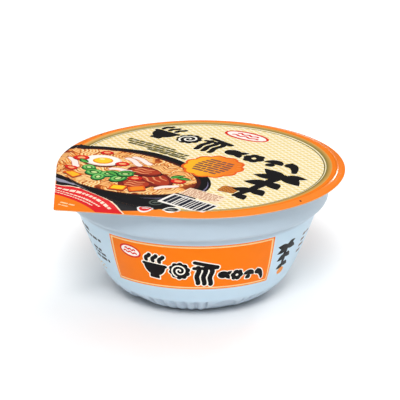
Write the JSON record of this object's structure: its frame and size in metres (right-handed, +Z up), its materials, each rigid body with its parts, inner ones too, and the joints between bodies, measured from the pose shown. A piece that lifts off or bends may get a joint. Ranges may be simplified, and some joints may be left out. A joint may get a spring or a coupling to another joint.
{
  "type": "instant noodle cup",
  "caption": "Sealed bowl-shaped pack of instant noodles with a fluted foot, a stepped collar and a thin overhanging lid with a corner pull tab.",
  "frame": {"origin": "in the plane that the foot stands on, 0.9 mm from the bowl's axis and 1.0 mm from the middle of the lid, which is sealed on a little off centre", "axes": "+Z up through the lid, -Y towards the main side label, +X to the right of it and towards the lid's wider overhang; the pull tab points between -X and -Y"},
  "size_m": [0.15, 0.15, 0.0677],
  "materials": {
    "bowl": "satin moulded plastic, pale blue-white, with printed panels on the side",
    "lid": "glossy laminated paper with an orange rim, cream field and printed picture, foil underneath"
  },
  "bodies": {
    "root": {"bowl": "bowl", "lid": "lid"}
  },
  "joints": []
}
